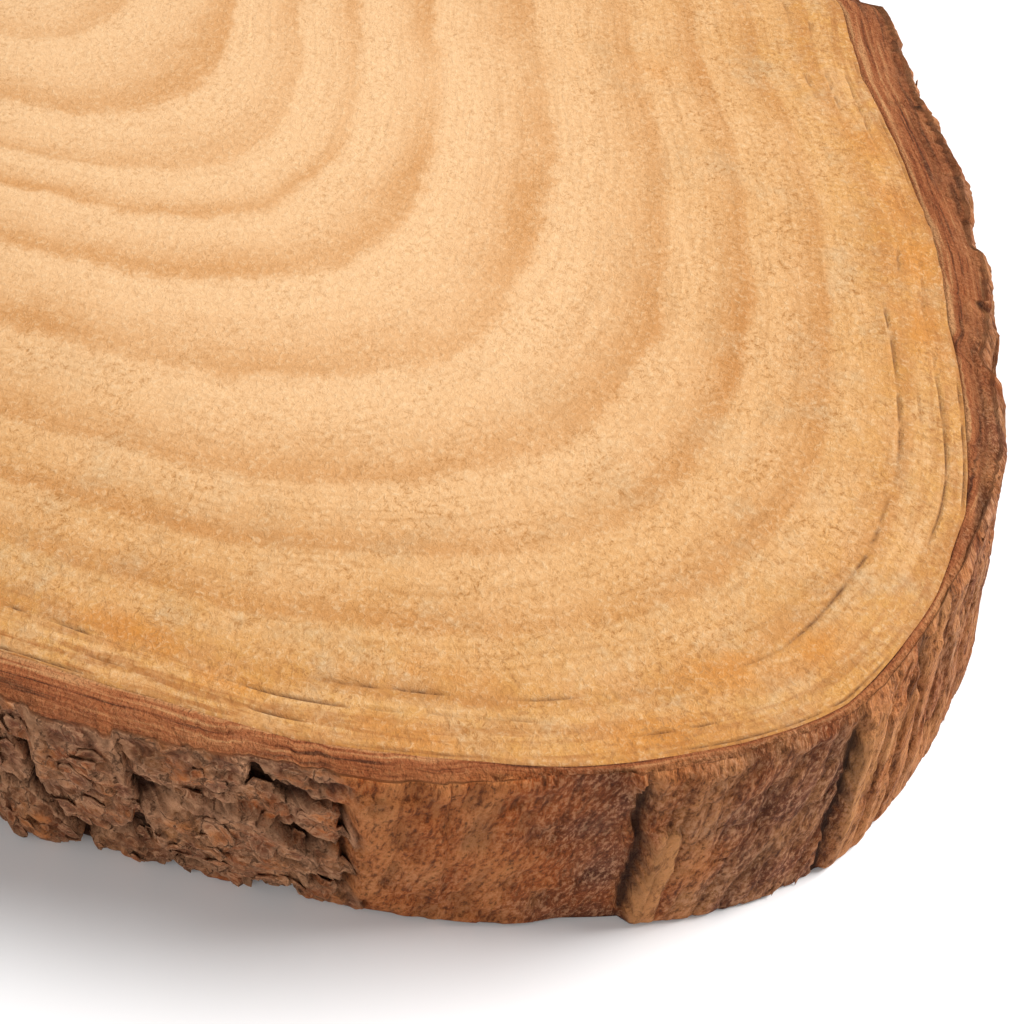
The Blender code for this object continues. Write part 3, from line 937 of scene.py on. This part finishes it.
class SliceColours(bpy.types.PropertyGroup):
    spring_wood: tint("Spring wood", "Start of each year's ring", "E6BA8A")
    summer_wood: tint("Summer wood", "End of each year's ring", "CB925A")
    fibre_shadow: tint("Fibre shadow", "Between torn fibres", "AD7740")
    # Painted highlight on the lit ends of torn fibres and on loose threads.
    torn_fibre: tint("Torn fibre", "Lit ends of torn fibres", "EDD0A5")
    deep_shadow: tint("Deep shadow", "Cracks, pits and rays", "6B4526")
    sapwood: tint("Sapwood", "Golden cast near the bark", "E2CDA2")
    streak: tint("Streak", "Brown lines beside the bark", "A0622E")
    amber: tint("Amber", "Deeper patches near the bark", "CE9448")
    resin_stain: tint("Resin stain", "Orange stains near the bark", "C77D2E")
    weathered: tint("Weathered", "Grey bloom near the bark", "BFA078")
    bark_grey: tint("Bark grey", "Weathered outer scales", "895138")
    bark_brown: tint("Bark brown", "Fresh outer scales", "5E3220")
    bark_rust: tint("Bark rust", "Rubbed under-layer", "A65525")
    # Painted highlight on the strokes where rubbed.
    rust_highlight: tint("Rust light", "Lit strokes where rubbed", "C67D49")
    bark_tan: tint("Bark tan", "Long fibres", "D2935C")
    # Pale turned-up edges with a painted highlight on them, along the chip cracks and on strokes outside
    # the rubbed stretches.
    bark_edge: tint("Bark edge", "Turned-up edges", "C8946F")
    # Dark grain and blotches, partly painted shade; painted shade between strokes and in the chinks between
    # chips.
    bark_dark: tint("Bark dark", "Shaded grain", "4B2A18")
    # Painted shade at the bottom of hollows, splits and fissures, in gaps between sheets, and under scales
    # and fibres.
    fissure: tint("Fissure", "Bottom of splits and fissures", "24120A")
    rim_light: tint("Rim light", "Palest sheet of the sawn bark", "CC9261")
    rim_brown: tint("Rim brown", "Middle sheet of the sawn bark", "B16C42")
    rim_red: tint("Rim red", "Darker sheet of the sawn bark", "94512F")
    rim_dark: tint("Rim dark", "Darkest sheet of the sawn bark", "5A3220")
    floor: tint("Floor", "Pale floor", "F7F6F6")


class SliceStage(bpy.types.PropertyGroup):
    azimuth: setting(FloatProperty, "Azimuth", "Turn of the view, 0 looks along +Y, in degrees", 50.81)
    elevation: setting(FloatProperty, "Elevation", "How far the camera looks down, in degrees", 50.0)
    aim: setting(
        FloatVectorProperty, "Aim", "Middle of the view on the sawn face, from the pith, in mm",
        (105.95, -8.37), size=2)
    distance: length("Distance", "From the camera to the sawn face along the view, in mm", 132.0)
    lens: setting(FloatProperty, "Lens", "Focal length, in mm on a 36 mm frame", 51.5)
    key_light: setting(FloatProperty, "Key light", "Power of the softbox behind, in watts", 16.5)
    key_place: setting(
        FloatVectorProperty, "Key place", "From the aim, in metres", (0.276, 0.682, 0.817),
        subtype="TRANSLATION")
    fill_light: setting(FloatProperty, "Fill light", "Power of the front softbox, in watts", 1.3)
    fill_place: setting(
        FloatVectorProperty, "Fill place", "From the aim, in metres", (0.15, -0.6, 0.4),
        subtype="TRANSLATION")
    sky: setting(FloatProperty, "Sky", "Brightness of the white surroundings", 0.34)


def finish_piece(piece, material):
    """Gives a piece its finish, hangs it on its body and hides the solid that it stands for."""
    piece.data.materials.append(material)
    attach(piece, BODY)
    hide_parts(NODE)


class WOODSLICE_OT_wood(bpy.types.Operator):
    """Make the sawn wood, with its growth rings"""

    bl_idname = "woodslice.wood"
    bl_label = "Sawn wood"

    def execute(self, context):
        scene = context.scene
        finish_piece(wood_piece(scene.slice_sizes), sawn_softwood(scene.slice_colours))
        return {"FINISHED"}


class WOODSLICE_OT_bark(bpy.types.Operator):
    """Make the ring of bark, and the scales and fibres that stand off it"""

    bl_idname = "woodslice.bark"
    bl_label = "Bark"

    def execute(self, context):
        scene = context.scene
        material = pine_bark(scene.slice_colours)
        for make in (bark_piece, scale_piece, fibre_piece):
            finish_piece(make(scene.slice_sizes), material)
        return {"FINISHED"}


class WOODSLICE_OT_stage(bpy.types.Operator):
    """Make the floor, the lights and the camera"""

    bl_idname = "woodslice.stage"
    bl_label = "Stage"

    def execute(self, context):
        scene = context.scene
        stage = scene.slice_stage
        reach = 2
        corners = [(-reach, -reach, 0), (reach, -reach, 0), (reach, reach, 0), (-reach, reach, 0)]
        mesh = bpy.data.meshes.new("floor")
        mesh.from_pydata(corners, [], [(0, 1, 2, 3)])
        mesh.materials.append(matt_paper(scene.slice_colours))
        placed("floor", mesh)

        turn, down = math.radians(stage.azimuth), math.radians(stage.elevation)
        level = math.cos(down)
        forward = Vector((-math.sin(turn) * level, math.cos(turn) * level, -math.sin(down)))
        aim = Vector(((PITH[0] + stage.aim[0]) * MM, (PITH[1] + stage.aim[1]) * MM, HIGH.z))
        camera = placed(
            "camera", bpy.data.cameras.new("camera"), lens=stage.lens, sensor_width=36, clip_start=0.005)
        camera.location = aim - forward * stage.distance * MM
        camera.rotation_euler = (math.pi / 2 - down, 0, turn)
        scene.camera = camera

        for name, power, size, place in (
                ("key", stage.key_light, 0.5, stage.key_place),
                ("fill", stage.fill_light, 0.7, stage.fill_place)):
            light = placed(name, bpy.data.lights.new(name, "AREA"), shape="SQUARE", size=size, energy=power)
            light.location = aim + Vector(place)
            light.rotation_euler = (-Vector(place)).to_track_quat("-Z", "Y").to_euler()

        world = bpy.data.worlds.new("surroundings")
        world.use_nodes = True
        background = world.node_tree.nodes["Background"]
        background.inputs["Color"].default_value = (1,) * 4
        background.inputs["Strength"].default_value = stage.sky
        scene.world = world
        scene.view_settings.view_transform = "Standard"
        return {"FINISHED"}


class WOODSLICE_PT_panel(bpy.types.Panel):
    """Lists the steps and what they are made from"""

    bl_label = "Wood slice"
    bl_idname = "WOODSLICE_PT_panel"
    bl_space_type = "VIEW_3D"
    bl_region_type = "UI"
    bl_category = "Wood slice"

    def draw(self, context):
        for step in STEPS:
            self.layout.operator(step.bl_idname)
        for name, kind in GROUPS.items():
            box = self.layout.box()
            for key in kind.__annotations__:
                box.prop(getattr(context.scene, name), key)


GROUPS = {"slice_sizes": SliceSizes, "slice_colours": SliceColours, "slice_stage": SliceStage}
STEPS = (WOODSLICE_OT_wood, WOODSLICE_OT_bark, WOODSLICE_OT_stage)
CLASSES = (*GROUPS.values(), *STEPS, WOODSLICE_PT_panel)


def register():
    for kind in CLASSES:
        bpy.utils.register_class(kind)
    for name, group in GROUPS.items():
        setattr(bpy.types.Scene, name, PointerProperty(type=group))


def unregister():
    for name in GROUPS:
        delattr(bpy.types.Scene, name)
    for kind in reversed(CLASSES):
        bpy.utils.unregister_class(kind)


def main():
    register()
    bpy.ops.woodslice.wood()
    bpy.ops.woodslice.bark()
    bpy.ops.woodslice.stage()


if __name__ == "__main__":
    main()
